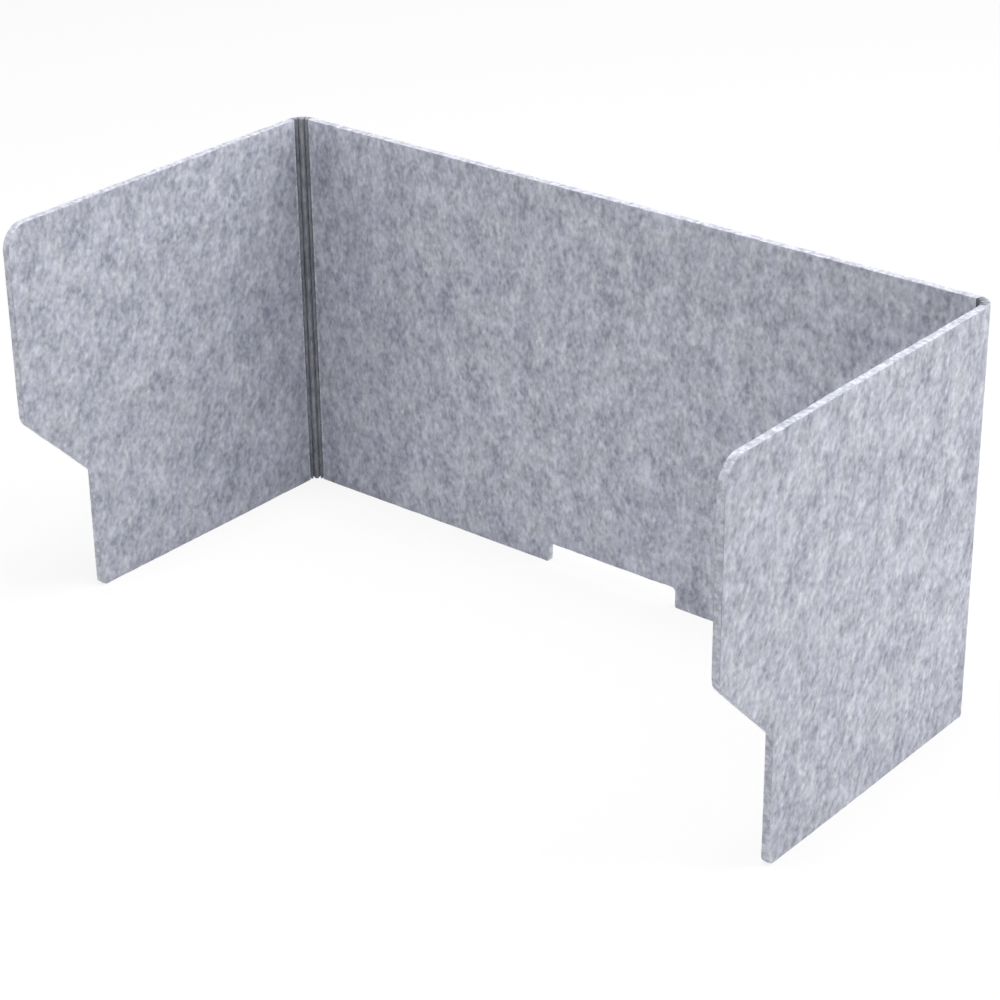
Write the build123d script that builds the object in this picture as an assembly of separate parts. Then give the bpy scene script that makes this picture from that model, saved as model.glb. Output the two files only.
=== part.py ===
from build123d import *
import math
import os

# Folding desk divider: one board of pressed felt, cut to a back panel and two wings that stay joined by
# the outer skin of the felt. Each corner is a fold of four V grooves with three ribs between them.
# Frame: origin on the desk under the middle of the bounding box, +X along the back panel, +Y from the
# open front to the back panel, +Z up. All lengths are millimetres, all angles are degrees.

# Overall sizes, standing open on a desk with square corners
width = 1000.0
height = 500.0
felt_thickness = 9.5
tip_gap = 4.0  # between the tips of the two wings when they lie folded on the back panel

# Front edge of each wing
front_corner_radius = 29.0
foot_setback = 98.5  # the foot stands this far behind the upper front edge
foot_height = 158.0  # upright part of the foot's front edge
slope_rise = 98.5  # height of the slope from the foot up to the front edge
brow_radius = 21.0  # where the slope meets the front edge
knee_radius = 7.0  # where the slope meets the foot
toe_radius = 10.0  # front of the foot, at the desk

# Cable notch in the lower edge of the back panel
notch_width = 195.0
notch_height = 26.5
notch_corner_radius = 5.0
notch_lip_radius = 2.5

# Fold at each corner
skin_thickness = 3.0  # felt left under each groove, on the outside of the corner
groove_floor = 0.6  # flat width of each groove's floor
outer_rib_crest = 1.0  # flat inner face of the first and third rib
middle_rib_crest = 3.3  # flat inner face of the middle rib
corner_angle = 90.0  # turn of the corner as it stands
folded_angle = 180.0  # turn of the corner with the wing flat against the back panel
groove_count = 4

# Worked out from the sizes above. Each groove closes fully when the wing is folded flat, so its two
# walls lean by half of its share of that turn.
half_width = width / 2
depth = (width - tip_gap) / 2
half_depth = depth / 2
rest_turn = corner_angle / groove_count
wall_lean = math.radians(folded_angle / groove_count / 2)
groove_depth = felt_thickness - skin_thickness
floor_half = groove_floor / 2
mouth_half = floor_half + groove_depth * math.tan(wall_lean)
crests = [outer_rib_crest, middle_rib_crest, outer_rib_crest]
pitches = [crest + 2 * mouth_half for crest in crests]


def direction(turn):
    """Unit vector along the skin after a turn from the back panel towards the right wing."""
    return Vector(math.cos(math.radians(turn)), -math.sin(math.radians(turn)))


def fold_reach():
    """Distance from the corner of the outer faces to the first and the last hinge line."""
    steps = [pitch * direction(rest_turn * (i + 1)).X for i, pitch in enumerate(pitches)]
    return skin_thickness + sum(steps)


def hinge_lines():
    """Plan positions of the right corner's four groove floors, where the skin bends."""
    lines = [Vector(half_width - fold_reach(), half_depth - skin_thickness)]
    for i, pitch in enumerate(pitches):
        lines.append(lines[-1] + direction(rest_turn * (i + 1)) * pitch)
    return lines


def upright(points, radii):
    """Prism of a plan outline, from the desk to the top edge."""
    outline = FilletPolyline(*points, radius=radii, close=True)
    return extrude(make_face(outline), amount=height)


def sharp(points):
    """Prism of a plan outline that has no rounded corner."""
    return upright(points, [0] * len(points))


def back_panel():
    """Board with a groove wall at each end and the cable notch in its lower edge."""
    skin_end = half_width - fold_reach() - floor_half
    face_end = half_width - fold_reach() - mouth_half
    outer = half_depth
    floor = half_depth - skin_thickness
    inner = half_depth - felt_thickness
    plan = [
        (-skin_end, outer), (skin_end, outer), (skin_end, floor),
        (face_end, inner), (-face_end, inner), (-skin_end, floor),
    ]
    notch_half = notch_width / 2
    elevation = [
        (-skin_end, 0), (-notch_half, 0), (-notch_half, notch_height), (notch_half, notch_height),
        (notch_half, 0), (skin_end, 0), (skin_end, height), (-skin_end, height),
    ]
    radii = [0, notch_lip_radius, notch_corner_radius, notch_corner_radius, notch_lip_radius, 0, 0, 0]
    side_view = Plane.XZ.offset(-outer)
    face = make_face(side_view * FilletPolyline(*elevation, radius=radii, close=True))
    board = extrude(face, amount=felt_thickness, dir=(0, -1, 0))
    return board & sharp(plan)


def right_wing():
    """Board with a groove wall at the fold, cut back below its upper front edge to form a foot."""
    front = -half_depth
    skin_end = half_depth - fold_reach() - floor_half
    face_end = half_depth - fold_reach() - mouth_half
    outer = half_width
    floor = half_width - skin_thickness
    inner = half_width - felt_thickness
    plan = [(outer, front), (outer, skin_end), (floor, skin_end), (inner, face_end), (inner, front)]
    foot = front + foot_setback
    elevation = [
        (skin_end, 0), (foot, 0), (foot, foot_height), (front, foot_height + slope_rise),
        (front, height), (skin_end, height),
    ]
    radii = [0, toe_radius, knee_radius, brow_radius, front_corner_radius, 0]
    side_view = Plane.YZ.offset(inner)
    face = make_face(side_view * FilletPolyline(*elevation, radius=radii, close=True))
    board = extrude(face, amount=felt_thickness, dir=(1, 0, 0))
    return board & sharp(plan)


def right_rib(index):
    """Rib between two grooves: a strip of skin with a tapered bar of felt standing on its inside."""
    pitch = pitches[index]
    plan = [
        (floor_half, skin_thickness), (pitch - floor_half, skin_thickness), (pitch - floor_half, 0),
        (pitch - mouth_half, -groove_depth), (mouth_half, -groove_depth), (floor_half, 0),
    ]
    start = hinge_lines()[index]
    turn = rest_turn * (index + 1)
    return Pos(start.X, start.Y) * Rot(0, 0, -turn) * sharp(plan)


def right_web(index):
    """Strip of skin that bends under one groove, from one stiff piece's end face to the next one's."""
    line = hinge_lines()[index]
    before = direction(rest_turn * index)
    after = direction(rest_turn * (index + 1))
    outward_before = Vector(-before.Y, before.X)
    outward_after = Vector(-after.Y, after.X)
    near_floor = line - before * floor_half
    far_floor = line + after * floor_half
    near_face = near_floor + outward_before * skin_thickness
    far_face = far_floor + outward_after * skin_thickness
    plan = [(corner.X, corner.Y) for corner in (near_floor, far_floor, far_face, near_face)]
    return sharp(plan)


def save(name, solid):
    """Write one piece, named as its node."""
    solid.label = name
    export_step(solid, os.path.join("parts", name + ".step"))


os.makedirs("parts", exist_ok=True)
save("back_panel", back_panel())
for side in ("right", "left"):
    pieces = {side + "_wing": right_wing()}
    for i in range(groove_count - 1):
        pieces[side + "_fold_rib_" + str(i + 1)] = right_rib(i)
    for i in range(groove_count):
        pieces[side + "_fold_web_" + str(i + 1)] = right_web(i)
    for name, solid in pieces.items():
        save(name, mirror(solid, about=Plane.YZ) if side == "left" else solid)

for i, line in enumerate(hinge_lines()):
    print("right hinge line", i + 1, round(line.X, 3), round(line.Y, 3))
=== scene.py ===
import bpy
import numpy as np
from mathutils import Matrix


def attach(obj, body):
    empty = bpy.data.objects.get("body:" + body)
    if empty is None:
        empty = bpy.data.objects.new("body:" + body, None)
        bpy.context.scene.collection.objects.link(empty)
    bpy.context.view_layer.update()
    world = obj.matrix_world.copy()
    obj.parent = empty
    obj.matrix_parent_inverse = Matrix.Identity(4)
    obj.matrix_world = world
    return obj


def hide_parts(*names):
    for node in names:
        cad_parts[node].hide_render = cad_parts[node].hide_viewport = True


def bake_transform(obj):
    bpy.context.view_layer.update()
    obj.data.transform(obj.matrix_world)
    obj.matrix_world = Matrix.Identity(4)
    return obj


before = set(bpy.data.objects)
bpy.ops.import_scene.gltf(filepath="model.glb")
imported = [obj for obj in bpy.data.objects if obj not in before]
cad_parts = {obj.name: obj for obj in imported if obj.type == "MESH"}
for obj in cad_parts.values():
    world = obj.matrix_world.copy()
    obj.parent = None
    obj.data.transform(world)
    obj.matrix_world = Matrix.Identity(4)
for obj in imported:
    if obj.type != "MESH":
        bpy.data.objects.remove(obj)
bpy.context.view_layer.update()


# The felt
# Needled polyester felt board: pale, blue-grey and dark staple fibres, carded, laid down and punched into
# one stiff matt sheet. Colour clumps run up the board, longer than they are wide, and no two are alike.

PALE_COOL_FIBRE = (0.652, 0.663, 0.753)
PALE_WARM_FIBRE = (0.660, 0.680, 0.722)
DARK_FIBRE = (0.286, 0.297, 0.366)
CUT_PALE_FIBRE = (0.765, 0.775, 0.838)
CUT_DARK_FIBRE = (0.345, 0.354, 0.425)
# painted shade inside the folds: the tint that darkens and greys a groove's walls and crests
GROOVE_PAINTED_SHADE = (0.590, 0.585, 0.570)
GRAINS = {  # metres along X, Y and Z; degrees leant over about X and Y; octaves of detail; place of its own
    "cloud": ((0.031, 0.034, 0.046), (-14, -4), 2.0, 0.0),
    "clump": ((0.0090, 0.0102, 0.0160), (-17, -3), 1.5, 1.7),
    "fleck": ((0.0045, 0.0059, 0.0078), (-22, 20), 1.0, 3.1),
    "cross_fleck": ((0.0043, 0.0054, 0.0072), (5, -8), 1.0, 5.3),
    "strand": ((0.0020, 0.0027, 0.0041), (-32, -4), 1.0, 5.7),
    "cross_strand": ((0.0019, 0.0026, 0.0039), (17, 36), 1.0, 7.9),
    "tint": ((0.023, 0.023, 0.035), (0, 0), 2.0, 8.3),
    "dash": ((0.0050, 0.0062, 1.0), (0, 0), 3.0, 9.4),  # along a cut, and from face to face
}
NOISE_MEAN = 0.5
EVEN_SHARE = 0.5  # of pale fibre, before the grain sways it
CLOUD_SWAY, CLUMP_SWAY, FLECK_SWAY, STRAND_SWAY = 0.92, 1.22, 0.86, 0.19  # on the share of pale fibre
TINT_SWAY = 4.5
DASH_SWAY = 3.6
CUT_COVER = 0.6  # how far a cut's own fibres hide the heather
CLUMP_HEIGHT, FLECK_HEIGHT, STRAND_HEIGHT, DASH_HEIGHT = 0.35, 0.5, 0.6, 0.4
RELIEF_STRENGTH = 0.5
RELIEF_DEPTH = 0.0009
FELT_SURFACE = {
    "Roughness": 0.95,
    "Specular IOR Level": 0.12,
    "Sheen Weight": 0.10,
    "Sheen Roughness": 0.45,
}


class Strand:
    """A value or colour in a shader. Arithmetic on it adds Math nodes to that shader."""

    def __init__(self, socket):
        self.socket = socket

    def node(self, kind, settings, inputs, output=0):
        """Add a node: its settings first, then its sockets' values or links."""
        tree = self.socket.id_data
        node = tree.nodes.new(kind)
        for name, value in settings.items():
            setattr(node, name, value)
        for key, value in inputs.items():
            if isinstance(value, Strand):
                tree.links.new(value.socket, node.inputs[key])
            else:
                node.inputs[key].default_value = value
        return Strand(node.outputs[output])

    def maths(self, operation, *values):
        return self.node("ShaderNodeMath", {"operation": operation}, dict(enumerate(values)))

    def __add__(self, other):
        return self.maths("ADD", self, other)

    def __sub__(self, other):
        return self.maths("SUBTRACT", self, other)

    def __rsub__(self, other):
        return self.maths("SUBTRACT", other, self)

    def __mul__(self, other):
        return self.maths("MULTIPLY", self, other)

    __radd__ = __add__
    __rmul__ = __mul__

    def clamped(self):
        return self.node("ShaderNodeClamp", {}, {"Value": self})

    def dyed(self, first, second, blend="MIX"):
        """Colour that goes from the first to the second as this value goes from 0 to 1."""
        first, second = (c if isinstance(c, Strand) else (*c, 1) for c in (first, second))
        settings = {"data_type": "RGBA", "blend_type": blend}
        return self.node("ShaderNodeMix", settings, {"Factor": self, "A": first, "B": second}, "Result")

    def into(self, socket):
        self.socket.id_data.links.new(self.socket, socket)


def grain(place, name):
    """Noise of one of the felt's grains, less its mean."""
    size, lean, detail, offset = GRAINS[name]
    turned = place.node(
        "ShaderNodeMapping",
        {"vector_type": "TEXTURE"},
        {
            "Vector": place,
            "Location": (offset, offset, offset),
            "Rotation": (*np.radians(lean), 0),
            "Scale": size,
        },
    )
    inputs = {"Vector": turned, "Scale": 1.0, "Detail": detail, "Roughness": 0.5}
    return place.node("ShaderNodeTexNoise", {}, inputs) - NOISE_MEAN


def felt(name):
    """Heathered felt. Noise of four grain sizes mixes dark fibre with pale, a slow one turns the pale from
    bluish to warm, and the same grain is its relief. The cut attribute marks a knife's cut, which shows the
    ends of its layers as dashes from face to face, or more than 1 where loose ends make it paler; on the lip
    beside a fold a value above 1 is a painted highlight. The milled attribute marks a groove's wall or crest,
    which is darkened there as painted shade."""
    material = bpy.data.materials.new(name)
    material.use_nodes = True
    surface = material.node_tree.nodes["Principled BSDF"]
    for socket, value in FELT_SURFACE.items():
        surface.inputs[socket].default_value = value
    place = Strand(material.node_tree.nodes.new("ShaderNodeTexCoord").outputs["Object"])
    cut, milled, run, depth = (
        place.node("ShaderNodeAttribute", {"attribute_name": key}, {}, "Fac")
        for key in ("cut", "milled", "run", "depth")
    )

    cloud, clump = grain(place, "cloud"), grain(place, "clump")
    flecks = grain(place, "fleck") + grain(place, "cross_fleck")
    strands = grain(place, "strand") + grain(place, "cross_strand")
    dashes = grain(place.node("ShaderNodeCombineXYZ", {}, {"X": run, "Y": depth}), "dash")
    heather = cloud * CLOUD_SWAY + clump * CLUMP_SWAY + flecks * FLECK_SWAY + strands * STRAND_SWAY
    pale_share = (heather + EVEN_SHARE).clamped()
    warmth = (grain(place, "tint") * TINT_SWAY + EVEN_SHARE).clamped()

    heathered = pale_share.dyed(DARK_FIBRE, warmth.dyed(PALE_COOL_FIBRE, PALE_WARM_FIBRE))
    layered = (dashes * DASH_SWAY + cut * EVEN_SHARE).clamped().dyed(CUT_DARK_FIBRE, CUT_PALE_FIBRE)
    edged = (cut * CUT_COVER).clamped().dyed(heathered, layered)
    # painted shade: a groove's walls and crests are darkened by the tint
    milled.dyed(edged, GROOVE_PAINTED_SHADE, "MULTIPLY").into(surface.inputs["Base Color"])
    height = clump * CLUMP_HEIGHT + flecks * FLECK_HEIGHT + strands * STRAND_HEIGHT
    height = height + dashes * cut * DASH_HEIGHT
    relief = {"Strength": RELIEF_STRENGTH, "Distance": RELIEF_DEPTH, "Height": height}
    place.node("ShaderNodeBump", {}, relief).into(surface.inputs["Normal"])
    return material


board_felt = felt("board_felt")


# The wings
# Two panels of the same 9.5 mm sheet, cut out by a knife, each set back at the lower front to leave a foot.
# The needled fibres soften the knife's cut, so it is a little rounded, wavy and fringed.

BOARD_THICKNESS = 0.0095
BOARD_HEIGHT = 0.500
HALF_WIDTH = 0.500
HALF_DEPTH = 0.249
WING_SKIN_END = 0.230009
FOOT_SETBACK = 0.0985
FOOT_HEIGHT = 0.158
SLOPE_RISE = 0.0985
TOE_RADIUS, KNEE_RADIUS, BROW_RADIUS, CORNER_RADIUS = 0.010, 0.007, 0.021, 0.029
FRONT_FROM, FRONT_TO = 0.30, 0.46  # heights between which the front edge is ruled from line to line
SKIN_THICKNESS = 0.003
WALL_LEAN = np.radians(22.5)
WALL_LEAN_REACH = 0.03
CUT_SPACING = 0.0024
CUT_ROUNDING = 0.0006
CUT_WAVE, WAVE_GRAIN = 0.00026, (1, 2.2)  # depth in metres, and grain in cells of the mesh
CUT_PITTING, PIT_GRAIN = 0.00016, (0.9, 0.8)
WAVE_AT_FACES = 0.45
LIP_WIDTH = 0.0026
# painted highlight: the lip beside a fold is made paler than a cut, as where its edge catches the light
LIP_PAINTED_HIGHLIGHT = 1.25
BOW = 0.0005
BOW_WAVES = (9.0, 6.5)  # radians per metre, along and up
BOW_REACH = 0.15
PANEL_ROWS = 70
SHARP_ANGLE = np.radians(38)
TOUCHING = 1e-7  # metres within which two points are one


def unit(vectors):
    """Vectors of length one along the last axis."""
    return vectors / np.linalg.norm(vectors, axis=-1, keepdims=True)


def cut_path(corners, radii, spacing):
    """Open cut line through the corners. At each one it follows the arc that touches both runs, and between
    the arcs it is straight; runs are divided by the spacing and arcs four times as finely."""
    corners, radii = np.array(corners, float), np.array(radii, float)
    runs = unit(np.diff(corners, axis=0))
    heading = np.arctan2(runs[:, 1], runs[:, 0])
    turn = (np.diff(heading) + np.pi) % (2 * np.pi) - np.pi
    reach = np.zeros(len(corners))
    reach[1:-1] = radii[1:-1] * np.tan(np.abs(turn) / 2)
    pieces = []
    for i, run in enumerate(runs):
        start, end = corners[i] + run * reach[i], corners[i + 1] - run * reach[i + 1]
        count = max(2, round(np.linalg.norm(end - start) / spacing))
        pieces.append(start + (end - start) * np.linspace(0, 1, count + 1)[:, None])
        if i < len(turn) and reach[i + 1] > 0:
            side = np.sign(turn[i])
            count = max(6, round(4 * radii[i + 1] * abs(turn[i]) / spacing))
            angle = heading[i] + turn[i] * np.linspace(0, 1, count + 1)[1:-1]
            right = np.stack([np.sin(angle), -np.cos(angle)], -1)
            centre = end - side * radii[i + 1] * np.array([np.sin(heading[i]), -np.cos(heading[i])])
            pieces.append(centre + side * radii[i + 1] * right)
    path = np.concatenate(pieces)
    step = np.linalg.norm(np.diff(path, axis=0), axis=1)
    return path[np.concatenate([[True], step > TOUCHING])]


def run_along(path):
    """Length of a path from its start to each of its points."""
    return np.concatenate([[0], np.cumsum(np.linalg.norm(np.diff(path, axis=0), axis=1))])


def facing(lower, top, rulings):
    """Points of the top line, one for each point of the lower line. The rulings pair a length along the lower
    line with a length along the top one, and between two of them both lines run on evenly."""
    lengths = np.interp(run_along(lower), *np.transpose(rulings))
    return np.stack([np.interp(lengths, run_along(top), top[:, k]) for k in (0, 1)], -1)


def off_folds(points, folds):
    """Distance along the panel from each point to the nearest fold."""
    return np.min(np.abs(points[..., :1] - np.array(folds)), axis=-1)


def normals(ring):
    """Unit vectors square to a closed line and on its right, one at each of its points."""
    tangent = unit(np.roll(ring, -1, 0) - np.roll(ring, 1, 0))
    return np.stack([tangent[:, 1], -tangent[:, 0]], -1)


def felt_noise(shape, grains, seed):
    """Random field of unit spread that closes on itself: white noise, blurred by a Gaussian of so many cells
    along each side."""
    spectrum = np.fft.fft2(np.random.default_rng(seed).standard_normal(shape))
    rows = np.exp(-2 * (np.pi * np.fft.fftfreq(shape[0]) * grains[0]) ** 2)
    columns = np.exp(-2 * (np.pi * np.fft.fftfreq(shape[1]) * grains[1]) ** 2)
    field = np.fft.ifft2(spectrum * rows[:, None] * columns[None, :]).real
    return field / field.std()


def grid_faces(rows, columns, closed=False):
    """Quads of a grid whose vertices are numbered row by row. A closed grid joins its last column to its
    first."""
    near = np.arange(columns if closed else columns - 1)
    far = (near + 1) % columns
    row = columns * np.arange(rows - 1)[:, None]
    quads = np.stack([row + near, row + far, row + columns + far, row + columns + near], -1)
    return quads.reshape(-1, 4)


def make_piece(name, points, quads, triangles=(), material=None, **attributes):
    """Mesh object from points and faces, which are turned outwards if the volume they hold is negative."""
    quads = np.asarray(quads, int).reshape(-1, 4)
    triangles = np.asarray(triangles, int).reshape(-1, 3)
    split = np.concatenate([quads[:, [0, 1, 2]], quads[:, [0, 2, 3]], triangles])
    a, b, c = (points[split[:, k]] for k in range(3))
    if np.einsum("ij,ij->", a, np.cross(b, c)) < 0:
        quads, triangles = quads[:, ::-1], triangles[:, ::-1]
    mesh = bpy.data.meshes.new(name)
    mesh.from_pydata(points.tolist(), [], quads.tolist() + triangles.tolist())
    for key, values in attributes.items():
        layer = mesh.attributes.new(key, "FLOAT", "POINT")
        layer.data.foreach_set("value", np.ravel(values).astype(np.float32))
    mesh.shade_smooth()
    mesh.set_sharp_from_angle(angle=SHARP_ANGLE)
    mesh.materials.append(material)
    piece = bpy.data.objects.new(name, mesh)
    bpy.context.scene.collection.objects.link(piece)
    return piece


def knife_edge():
    """Section of a cut, from the outer face to the inner: depth below the outer face, and how far the surface
    stands back from the cut line, a quarter circle at each face and straight between them."""
    quarter = np.radians([0, 22, 45, 67, 90])
    round_depth = CUT_ROUNDING * (1 - np.cos(quarter))
    round_back = CUT_ROUNDING * (1 - np.sin(quarter))
    straight = np.array([0.0019, SKIN_THICKNESS, 0.0046, 0.0062, 0.0075])
    depth = np.concatenate([round_depth, straight, BOARD_THICKNESS - round_depth[::-1]])
    back = np.concatenate([round_back, 0 * straight, round_back[::-1]])
    return depth, back


def panel(name, lower, upper, folds, place, seed):
    """Felt panel between a lower and an upper cut line, whose points are (along, up). Both faces are ruled
    grids between the two lines, P = lower + v (upper - lower), and the cut carries its section round the
    grid's border. At a fold the wall leans back, depth below the skin times tan 22.5, and below the skin it
    takes the groove's painted shade; the lip beside it on the inner face is paler than a cut, a painted
    highlight. The run and depth attributes are lengths along the cut and in from the face."""
    columns = len(lower)
    rise = np.linspace(0, 1, PANEL_ROWS + 1)[:, None, None]
    sheet = lower + (upper - lower) * rise
    index = np.arange(sheet.shape[0] * columns).reshape(sheet.shape[0], columns)
    border = np.concatenate([index[0], index[1:, -1], index[-1, -2::-1], index[-2:0:-1, 0]])
    flat = sheet.reshape(-1, 2)
    ring = flat[border]
    out = normals(ring)
    at_fold = off_folds(ring, folds) < TOUCHING
    out[at_fold] = 0  # neither rounded nor wavy there, so that the wall meets the skin beside it

    depth, back = knife_edge()
    wave = CUT_WAVE * felt_noise((1, len(ring)), WAVE_GRAIN, seed)[0]
    pits = CUT_PITTING * felt_noise((len(depth), len(ring)), PIT_GRAIN, seed + 1)
    belly = WAVE_AT_FACES + (1 - WAVE_AT_FACES) * np.sin(np.pi * depth / BOARD_THICKNESS)
    inset = back[:, None] - (wave[None] + pits) * belly[:, None]
    rim = ring[None] - out[None] * inset[..., None]
    rim[..., 1] = np.maximum(rim[..., 1], 0)  # the desk keeps the lower edge flat

    def lean(points, depths):
        """Points moved along by their fall below the skin times tan 22.5 at a fold, and less further off."""
        fall = np.maximum(0, depths - SKIN_THICKNESS) * np.tan(WALL_LEAN)
        for fold in folds:
            share = np.maximum(0, 1 - np.abs(points[..., 0] - fold) / WALL_LEAN_REACH)
            points[..., 0] += np.sign(np.mean(flat[:, 0]) - fold) * fall * share
        return points

    def bow(points):
        """Height of a slow wave, a sine along the panel times a cosine up it, that dies out at the folds."""
        along, up = points[..., 0], points[..., 1]
        swell = np.sin(BOW_WAVES[0] * along + seed) * np.cos(BOW_WAVES[1] * up + 2 * seed)
        return BOW * swell * np.minimum(1, off_folds(points, folds) / BOW_REACH) ** 2

    faces = []
    for level, row in ((0.0, 0), (BOARD_THICKNESS, -1)):
        face = flat.copy()
        face[border] = rim[row]
        face = lean(face, np.full(len(face), level))
        faces.append(np.column_stack([face, level + bow(face)]))
    rim = lean(rim, np.broadcast_to(depth[:, None], rim.shape[:2]))
    rim = np.dstack([rim, depth[:, None] + bow(rim)])[1:-1]

    count = len(flat)
    first_rim = 2 * count
    ring_index = first_rim + np.arange(rim.shape[0] * len(ring)).reshape(rim.shape[0], -1)
    levels = np.concatenate([border[None], ring_index, border[None] + count])
    near, far = levels, np.roll(levels, -1, 1)
    walls = np.stack([near[:-1], far[:-1], far[1:], near[1:]], -1).reshape(-1, 4)
    outer_quads = grid_faces(sheet.shape[0], columns)
    quads = np.concatenate([outer_quads, outer_quads[:, ::-1] + count, walls[:, ::-1]])
    points = np.concatenate([*faces, rim.reshape(-1, 3)])
    cut, milled = np.zeros((2, len(points)))
    from_fold = off_folds(flat, folds)
    cut[first_rim:] = 1
    # painted highlight on the inner face's lip beside each fold
    cut[count:first_rim] = LIP_PAINTED_HIGHLIGHT * (from_fold < LIP_WIDTH)
    # painted shade: the fold's wall below the skin is darkened like a groove
    in_groove = at_fold[None, :] & (depth[1:-1, None] > SKIN_THICKNESS)
    milled[first_rim:] = np.ravel(in_groove)
    ring_run = run_along(ring)
    face_run, face_depth = flat[:, 1].copy(), from_fold.copy()
    face_run[border[~at_fold]], face_depth[border[~at_fold]] = ring_run[~at_fold], 0
    run = np.concatenate([face_run, face_run, np.tile(ring_run, len(depth) - 2)])
    into = np.concatenate([face_depth, face_depth, np.repeat(depth[1:-1], len(ring))])
    return make_piece(
        name, place(points), quads, material=board_felt, cut=cut, milled=milled, run=run, depth=into
    )


FIBRES_PER_METRE = 3200
FIBRE_SIDES, FIBRE_RINGS = 3, 4
FIBRE_RADIUS = 0.00007
FIBRE_TAPER = 0.6
FIBRE_LENGTH = 0.0034
FIBRE_LENGTH_SPREAD = (1.6, 3.2)  # shape of the beta distribution
SHORTEST_SHARE = 0.2
FIBRE_DEPTHS = (0.04, 0.96)  # shares of the board's thickness
FIBRE_ROOT = 0.0003  # below the cut
FIBRE_LEAN = 0.7
FIBRE_BEND = 0.55
FIBRE_CLEARANCE = 0.0070  # from a fold, where fibres would catch as it closes
FIBRE_FOOTROOM = 0.0060  # above the desk
FIBRE_PALENESS = 2.0
ASIDE = (0.3, 0.5, 0.81)  # a direction that no fibre takes, to find the ones square to it


def stray_fibres(name, lower, upper, folds, place, seed):
    """Fibres that the knife left standing, rooted at random on the cut edges that are off the desk and clear
    of the folds. Each is a three-sided hair that tapers, P = root + length (k direction + k squared bend),
    k from 0 to 1."""
    draw = np.random.default_rng(seed)
    ring = np.concatenate([lower, upper[::-1]])
    ends = np.roll(ring, -1, 0)
    clear = np.minimum(off_folds(ring, folds), off_folds(ends, folds)) > FIBRE_CLEARANCE
    loose = clear & (np.minimum(ring[:, 1], ends[:, 1]) > FIBRE_FOOTROOM)
    ring, ends = ring[loose], ends[loose]
    lengths = np.linalg.norm(ends - ring, axis=1)
    count = round(FIBRES_PER_METRE * lengths.sum())
    run = draw.choice(len(ring), count, p=lengths / lengths.sum())
    tangent = unit(ends - ring)[run]
    out = np.stack([tangent[:, 1], -tangent[:, 0]], -1)
    share = draw.uniform(size=count)
    depth = draw.uniform(*FIBRE_DEPTHS, count)
    long = draw.beta(*FIBRE_LENGTH_SPREAD, count)
    root = ring[run] + (ends - ring)[run] * share[:, None] - FIBRE_ROOT * out
    root = np.column_stack([root, depth * BOARD_THICKNESS])
    side, tilt = draw.normal(0, FIBRE_LEAN, (2, count, 1))
    direction = unit(np.column_stack([out + side * tangent, tilt]))
    bend = np.cross(direction, unit(draw.normal(size=(count, 3)))) * FIBRE_BEND
    steps = np.linspace(0, 1, FIBRE_RINGS)[None, :, None]
    long = (FIBRE_LENGTH * (SHORTEST_SHARE + long))[:, None, None]
    spine = root[:, None] + long * (steps * direction[:, None] + steps**2 * bend[:, None])
    first = unit(np.cross(direction, ASIDE))[:, None]
    second = np.cross(direction[:, None], first)
    angle = np.radians([0, 120, 240])[:, None]
    circle = np.cos(angle) * first[:, :, None] + np.sin(angle) * second[:, :, None]
    tube = spine[:, :, None] + FIBRE_RADIUS * (1 - FIBRE_TAPER * steps)[..., None] * circle
    start = FIBRE_SIDES * FIBRE_RINGS * np.arange(count)[:, None, None]
    quads = start + grid_faces(FIBRE_RINGS, FIBRE_SIDES, closed=True)
    tip = FIBRE_SIDES * (FIBRE_RINGS - 1)
    caps = start + np.array([[2, 1, 0], [tip, tip + 1, tip + 2]])
    points = place(tube.reshape(-1, 3))
    return make_piece(name, points, quads, caps, board_felt, cut=np.full(len(points), FIBRE_PALENESS))


wing_length = WING_SKIN_END + HALF_DEPTH
foot = wing_length - FOOT_SETBACK
brow = FOOT_HEIGHT + SLOPE_RISE
wing_lower = cut_path(
    [(0, 0), (foot, 0), (foot, FOOT_HEIGHT), (wing_length, brow), (wing_length, FRONT_FROM)],
    [0, TOE_RADIUS, KNEE_RADIUS, BROW_RADIUS, 0],
    CUT_SPACING,
)
wing_top = cut_path(
    [(0, BOARD_HEIGHT), (wing_length, BOARD_HEIGHT), (wing_length, FRONT_TO)],
    [0, CORNER_RADIUS, 0],
    CUT_SPACING / 2,
)
knee_run = foot + FOOT_HEIGHT
brow_run = knee_run + np.hypot(FOOT_SETBACK, SLOPE_RISE)
wing_upper = facing(wing_lower, wing_top, [  # so that the rulings fan out over the foot and never cross
    (0, 0),
    (foot - 0.02, foot - 0.07),
    (knee_run, foot - 0.01),
    (brow_run - 0.03, wing_length - 0.035),
    (run_along(wing_lower)[-1], run_along(wing_top)[-1]),
])


def right_place(points):
    """Points of the right wing from (away from its fold, up, in from its outer face) to the frame."""
    return np.stack([HALF_WIDTH - points[:, 2], WING_SKIN_END - points[:, 0], points[:, 1]], -1)


def left_place(points):
    """Points of the left wing, as a mirror image of the right one."""
    return right_place(points) * np.array([-1, 1, 1])


for side, place, seed in (("right", right_place, 3), ("left", left_place, 11)):
    wing = panel(f"{side}_wing_felt", wing_lower, wing_upper, [0.0], place, seed)
    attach(wing, f"{side}_wing")
    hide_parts(f"{side}_wing")
    fringe = stray_fibres(f"{side}_wing_fringe", wing_lower, wing_upper, [0.0], place, seed + 2)
    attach(fringe, f"{side}_wing")


# The back panel
# One long panel of the same sheet between the folds. The knife also cuts the low notch in the middle of its
# lower edge, through which cables pass.

BACK_SKIN_END = 0.481009
NOTCH_HALF = 0.0975
NOTCH_HEIGHT = 0.0265
NOTCH_LIP_RADIUS, NOTCH_CORNER_RADIUS = 0.0025, 0.005
back_folds = [-BACK_SKIN_END, BACK_SKIN_END]


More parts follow.
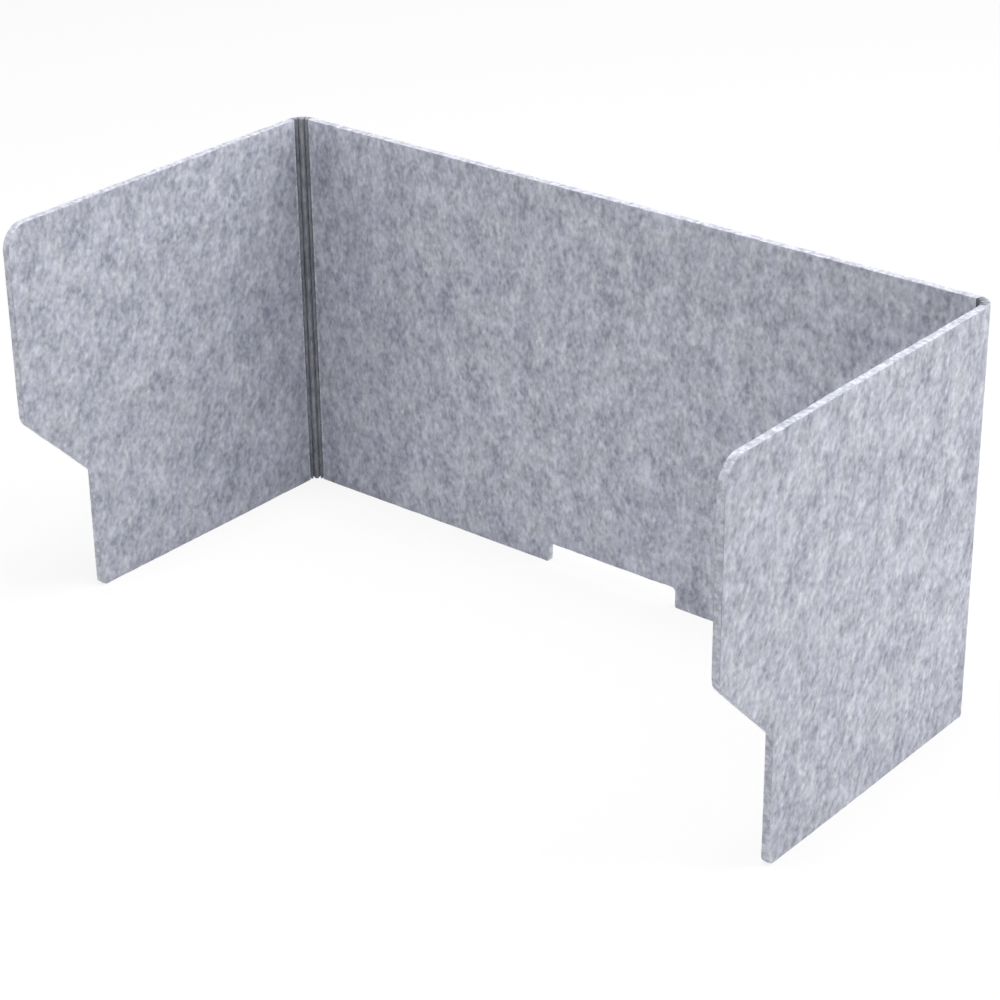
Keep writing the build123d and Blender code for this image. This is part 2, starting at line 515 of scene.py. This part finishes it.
def back_place(points):
    """Points of the back panel from (to the right, up, in from its outer face) to the frame."""
    return np.stack([points[:, 0], HALF_DEPTH - points[:, 2], points[:, 1]], -1)


back_lower = cut_path(
    [
        (-BACK_SKIN_END, 0),
        (-NOTCH_HALF, 0),
        (-NOTCH_HALF, NOTCH_HEIGHT),
        (NOTCH_HALF, NOTCH_HEIGHT),
        (NOTCH_HALF, 0),
        (BACK_SKIN_END, 0),
    ],
    [0, NOTCH_LIP_RADIUS, NOTCH_CORNER_RADIUS, NOTCH_CORNER_RADIUS, NOTCH_LIP_RADIUS, 0],
    CUT_SPACING,
)
back_top = np.array([[end, BOARD_HEIGHT] for end in back_folds])
lower_end, top_end = run_along(back_lower)[-1], 2 * BACK_SKIN_END
lip_run = BACK_SKIN_END - NOTCH_HALF
back_upper = facing(back_lower, back_top, [  # so that the rulings lean away over the notch's two ends
    (0, 0),
    (lip_run - 0.01, lip_run - 0.05),
    (lip_run + NOTCH_HEIGHT, lip_run - 0.02),
    (lower_end - lip_run - NOTCH_HEIGHT, top_end - lip_run + 0.02),
    (lower_end - lip_run + 0.01, top_end - lip_run + 0.05),
    (lower_end, top_end),
])
back_panel = panel("back_panel_felt", back_lower, back_upper, back_folds, back_place, seed=23)
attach(back_panel, "back_panel")
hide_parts("back_panel")

back_fringe = stray_fibres("back_panel_fringe", back_lower, back_upper, back_folds, back_place, seed=29)
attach(back_fringe, "back_panel")


# The folds
# Four V grooves, milled from the inside down to a 3 mm skin, leave three full-height ribs. The groove walls
# and crests are painted darker and greyer than the faces, as painted shade inside the folds.

GROOVE_DEPTH = BOARD_THICKNESS - SKIN_THICKNESS
FLOOR_HALF = 0.0003
MOUTH_HALF = FLOOR_HALF + GROOVE_DEPTH * np.tan(WALL_LEAN)
RIB_PITCHES = [crest + 2 * MOUTH_HALF for crest in (0.001, 0.0033, 0.001)]
CREST_CHAMFER = 0.0003
CREST_ONSET = 0.7  # share of the groove's depth at which the crest's painted shade starts
FOLD_STEP = np.radians(22.5)
SKIN_SWELL = np.radians(5.6)
FOLD_ROUNDING = CUT_ROUNDING * 0.6
UPRIGHT_ROWS = 202
CREST_WANDER, WANDER_GRAIN = 0.00014, (4.5, 3.0)
RIB_PITTING, WEB_PITTING, FOLD_PIT_GRAIN = 0.00006, 0.00002, (1.2, 1.0)
RIB_SPACING, WEB_SPACING = 0.0009, 0.0007
RIB_SEED, WEB_SEED, WANDER_SEED = 40, 60, 100
MILLED_FROM = 0.1  # of the milled attribute, past which a point is on the bar and not on the skin
OUTER_FACE_FROM = 0.95  # share of the skin's thickness past which a point is on its outer face
BAR_END, WALL_SHARE = 1.0, 0.3  # of the crest's painted shade
fold_felt = felt("fold_felt")


def skin_direction(steps):
    """Unit vector along the skin after so many of a corner's four steps, from the back to the right wing."""
    return np.array([np.cos(FOLD_STEP * steps), -np.sin(FOLD_STEP * steps)])


def outward(steps):
    """Unit vector out of the corner, square to the skin."""
    return np.array([np.sin(FOLD_STEP * steps), np.cos(FOLD_STEP * steps)])


hinge_lines = [np.array([BACK_SKIN_END + FLOOR_HALF, HALF_DEPTH - SKIN_THICKNESS])]
for step, pitch in enumerate(RIB_PITCHES):
    hinge_lines.append(hinge_lines[-1] + pitch * skin_direction(step + 1))


def swollen(start, end, count):
    """Arc from start to end that meets its chord at the skin's swell. Its sagitta is half the chord times
    tan(swell / 2)."""
    share = np.linspace(0, 1, count)[:, None]
    chord = end - start
    side = np.array([-chord[1], chord[0]])
    return start + chord * share + side * np.tan(SKIN_SWELL / 2) * 2 * share * (1 - share)


def subdivided(corners, spacing):
    """Closed line through the corners, with its runs divided by the spacing."""
    corners = np.array(corners, float)
    ends = np.roll(corners, -1, 0)
    parts = []
    for start, end in zip(corners, ends):
        count = max(1, round(np.linalg.norm(end - start) / spacing))
        parts.append(start + (end - start) * np.arange(count)[:, None] / count)
    return np.concatenate(parts)


def upright(name, section, milled, seed, pitting):
    """Closed prism: the plan section is carried up from the desk to the top edge. Near both ends it draws in
    by a quarter circle, and noise along the section's normal pits its sides and lets its crest wander. The
    section's milled points take painted shade all the way up. So do the ends of the bar, but the skin's are
    cut."""
    quarter = np.radians([0, 30, 60, 90])
    ends = FOLD_ROUNDING * (1 - np.cos(quarter))
    drawn_in = FOLD_ROUNDING * (1 - np.sin(quarter))
    rows = np.linspace(0, BOARD_HEIGHT, UPRIGHT_ROWS)[1:-1]
    heights = np.concatenate([ends, rows, BOARD_HEIGHT - ends[::-1]])
    inset = np.concatenate([drawn_in, 0 * rows, drawn_in[::-1]])
    following = np.roll(section, -1, 0)
    area = np.sum(section[:, 0] * following[:, 1] - section[:, 1] * following[:, 0])
    normal = normals(section) * np.sign(area)
    cells = (len(heights), len(section))
    pits = pitting * felt_noise(cells, FOLD_PIT_GRAIN, seed)
    wander = CREST_WANDER * felt_noise(cells, WANDER_GRAIN, seed + WANDER_SEED) * milled
    plan = section[None] - normal[None] * (inset[:, None] - pits - wander)[..., None]
    points = np.dstack([plan, np.broadcast_to(heights[:, None], plan.shape[:2])]).reshape(-1, 3)
    columns = len(section)
    middle = section.mean(0)
    points = np.concatenate([points, [[*middle, 0], [*middle, BOARD_HEIGHT]]])
    quads = grid_faces(len(heights), columns, closed=True)
    near = np.arange(columns)
    far = (near + 1) % columns
    last = (len(heights) - 1) * columns
    pole = len(points) - 2
    caps = np.concatenate([
        np.stack([far, near, np.full(columns, pole)], -1),
        np.stack([last + near, last + far, np.full(columns, pole + 1)], -1),
    ])
    ends_cut = np.zeros(len(heights))
    ends_cut[[0, 1, -2, -1]] = 1
    in_bar = BAR_END * (milled > MILLED_FROM)
    cut = np.append(np.outer(ends_cut, milled <= MILLED_FROM), [0, 0])
    # painted shade: the bar's ends at the desk and the top are darkened like its crest
    milled = np.append(np.maximum(milled, np.outer(ends_cut, in_bar)), [BAR_END, BAR_END])
    return make_piece(name, points, quads, caps, fold_felt, cut=cut, milled=milled)


def rib_section(index):
    """Plan of a rib: a swollen strip of skin, and under it a bar that narrows to the crest. With it goes how
    much painted shade each point takes: none on the outer face, part on the walls and all on the crest."""
    pitch = RIB_PITCHES[index]
    start, end = np.array([[FLOOR_HALF, SKIN_THICKNESS], [pitch - FLOOR_HALF, SKIN_THICKNESS]])
    skin = swollen(start, end, count=9)
    bar = [
        (pitch - FLOOR_HALF, 0),
        (pitch - MOUTH_HALF, -GROOVE_DEPTH + CREST_CHAMFER),
        (pitch - MOUTH_HALF - CREST_CHAMFER, -GROOVE_DEPTH),
        (MOUTH_HALF + CREST_CHAMFER, -GROOVE_DEPTH),
        (MOUTH_HALF, -GROOVE_DEPTH + CREST_CHAMFER),
        (FLOOR_HALF, 0),
    ]
    local = subdivided(np.concatenate([skin, bar]), RIB_SPACING)
    along_skin, out_of_skin = local[:, :1], local[:, 1:]
    section = hinge_lines[index] + along_skin * skin_direction(index + 1) + out_of_skin * outward(index + 1)
    depths = [-SKIN_THICKNESS, 0, CREST_ONSET * GROOVE_DEPTH, GROOVE_DEPTH]
    return section, np.interp(-local[:, 1], depths, [0, WALL_SHARE, WALL_SHARE, 1])


def web_section(index):
    """Plan of the skin under a groove: floor inside, swollen face outside, a flat end on each neighbour. With
    it go the painted shade of each point, the walls' share on all but the outer face, and the two edges of
    the outer face."""
    line = hinge_lines[index]
    near = line - skin_direction(index) * FLOOR_HALF
    far = line + skin_direction(index + 1) * FLOOR_HALF
    near_face = near + outward(index) * SKIN_THICKNESS
    far_face = far + outward(index + 1) * SKIN_THICKNESS
    section = subdivided([*swollen(near_face, far_face, count=7), far, near], WEB_SPACING)
    milled = (section - line) @ outward(index + 0.5) < OUTER_FACE_FROM * SKIN_THICKNESS
    return section, WALL_SHARE * milled, near_face, far_face


for side, mirror in (("right", 1), ("left", -1)):
    chain = ["back_panel", f"{side}_rib_1", f"{side}_rib_2", f"{side}_rib_3", f"{side}_wing"]
    flip = np.array([mirror, 1])
    for index in range(3):
        section, milled = rib_section(index)
        name = f"{side}_fold_rib_{index + 1}"
        rib = upright(f"{name}_felt", section * flip, milled, RIB_SEED + index + mirror, RIB_PITTING)
        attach(rib, chain[index + 1])
        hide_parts(name)
    for index in range(4):
        section, milled, near_face, far_face = web_section(index)
        name = f"{side}_fold_web_{index + 1}"
        web = upright(f"{name}_felt", section * flip, milled, WEB_SEED + index + mirror, WEB_PITTING)
        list(near_face * flip)
        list(far_face * flip)
        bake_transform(web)
        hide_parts(name)


# The stage
# A plain pale floor, a white surround that also gives soft light from all round, a tall softbox behind the
# right corner, one overhead, and a weak one at the left front.

FLOOR_REACH = 30
FLOOR_GREY = 0.76
FLOOR_WHITE = 1.03
FLOOR_SHOWN_WHITE = 0.80
SKY_STRENGTH = 0.34
SOFTBOX_WIDTH = 2.3
SOFTBOX_DISTANCE = 4.5
SOFTBOXES = {  # degrees from +X towards +Y, degrees up, height in metres, watts
    "key": (40, 36, 4.4, 133),
    "overhead": (0, 89, 2.3, 162),
    "fill": (240, 20, 2.3, 36),
}

floor_mesh = bpy.data.meshes.new("floor")
floor_corners = [(FLOOR_REACH * x, FLOOR_REACH * y, 0) for x, y in ((-1, -1), (1, -1), (1, 1), (-1, 1))]
floor_mesh.from_pydata(floor_corners, [], [(0, 1, 2, 3)])
floor = bpy.data.objects.new("floor", floor_mesh)
bpy.context.scene.collection.objects.link(floor)
floor_paint = bpy.data.materials.new("floor_paint")
floor_paint.use_nodes = True
nodes = floor_paint.node_tree.nodes
nodes.remove(nodes["Principled BSDF"])
matt = nodes.new("ShaderNodeBsdfDiffuse")
matt.inputs["Color"].default_value = (FLOOR_GREY, FLOOR_GREY, FLOOR_GREY, 1)
white = nodes.new("ShaderNodeEmission")
white.inputs["Strength"].default_value = FLOOR_WHITE
seen = Strand(nodes.new("ShaderNodeLightPath").outputs["Is Camera Ray"])
shaders = {1: Strand(matt.outputs[0]), 2: Strand(white.outputs[0])}
painted = seen.node("ShaderNodeMixShader", {}, {0: seen * FLOOR_SHOWN_WHITE, **shaders})
painted.into(nodes["Material Output"].inputs["Surface"])
floor_mesh.materials.append(floor_paint)

world = bpy.data.worlds.new("surround")
world.use_nodes = True
bpy.context.scene.world = world
nodes = world.node_tree.nodes
sky = nodes["Background"]
sky.inputs["Color"].default_value = (1, 1, 1, 1)
rays = nodes.new("ShaderNodeLightPath")
seen, mirrored, refracted = (
    Strand(rays.outputs[f"Is {kind} Ray"]) for kind in ("Camera", "Glossy", "Transmission")
)
shown = seen.maths("MAXIMUM", seen, mirrored)
shown = shown.maths("MAXIMUM", shown, refracted)
(shown * (1 - SKY_STRENGTH) + SKY_STRENGTH).into(sky.inputs["Strength"])

for name, (azimuth, elevation, tall, power) in SOFTBOXES.items():
    turn, rise = np.radians([azimuth, elevation])
    away = np.array([np.cos(turn) * np.cos(rise), np.sin(turn) * np.cos(rise), np.sin(rise)])
    sideways = unit(np.cross([0, 0, 1], away))
    place = [0, 0, BOARD_HEIGHT / 2] + away * SOFTBOX_DISTANCE
    lamp_data = bpy.data.lights.new(name, "AREA")
    lamp_data.shape = "RECTANGLE"
    lamp_data.size, lamp_data.size_y = SOFTBOX_WIDTH, tall
    lamp_data.energy = power
    lamp = bpy.data.objects.new(name, lamp_data)
    axes = np.column_stack([sideways, np.cross(away, sideways), away, place])
    lamp.matrix_world = Matrix(np.vstack([axes, [0, 0, 0, 1]]).tolist())
    bpy.context.scene.collection.objects.link(lamp)


# The camera
# It stands far out at the right front, higher than the board, and looks down and to the left into the bay.
# Colours are shown as they are, with no film curve.

CAMERA_PLACE = (1.81529, -2.17202, 1.62291)
YAW, PITCH, ROLL = 0.6900, 0.4630, -0.0123  # radians to the left of +Y, down, and with the right side up
SENSOR_WIDTH = 36
LENS = 100.08
camera_data = bpy.data.cameras.new("camera")
camera_data.sensor_width = SENSOR_WIDTH
camera_data.lens = LENS
camera = bpy.data.objects.new("camera", camera_data)
ahead = np.array([-np.sin(YAW) * np.cos(PITCH), np.cos(YAW) * np.cos(PITCH), -np.sin(PITCH)])
level = np.array([np.cos(YAW), np.sin(YAW), 0])
above = np.cross(level, ahead)
right = np.cos(ROLL) * level + np.sin(ROLL) * above
up = np.cos(ROLL) * above - np.sin(ROLL) * level
camera.matrix_world = Matrix(
    np.vstack([np.column_stack([right, up, -ahead, CAMERA_PLACE]), [0, 0, 0, 1]]).tolist()
)
bpy.context.scene.collection.objects.link(camera)
bpy.context.scene.camera = camera
bpy.context.scene.view_settings.view_transform = "Standard"
